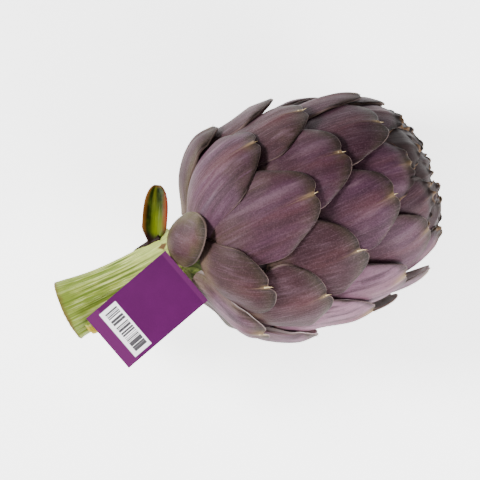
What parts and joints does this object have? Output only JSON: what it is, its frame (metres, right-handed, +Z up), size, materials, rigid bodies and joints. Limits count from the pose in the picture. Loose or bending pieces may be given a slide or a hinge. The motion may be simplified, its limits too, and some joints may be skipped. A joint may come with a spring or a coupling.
{
  "type": "artichoke",
  "caption": "Purple globe artichoke lying on its side: overlapping bracts round a domed head, ribbed cut stem with a small leaf, and a plain card tag on the stem.",
  "frame": {"origin": "middle of the small flat spot that the head rests on, at the level of the surface", "axes": "+X along the head's axis, from the cut stem towards the bract tips; +Z up from the surface; -Z is the resting spot's outward normal"},
  "size_m": [0.1878, 0.1128, 0.1058],
  "materials": {
    "bract_skin": "matte to satin plant skin, muted purple, tan midrib streaks near the tips",
    "stem_skin": "matte ribbed plant skin, pale green",
    "leaf_skin": "satin leaf, dark green with yellow and red margins",
    "card": "smooth printed card, deep purple"
  },
  "bodies": {
    "root": {"head": "bract_skin", "stem": "stem_skin", "stem_leaf": "leaf_skin", "tag": "card"}
  },
  "joints": []
}
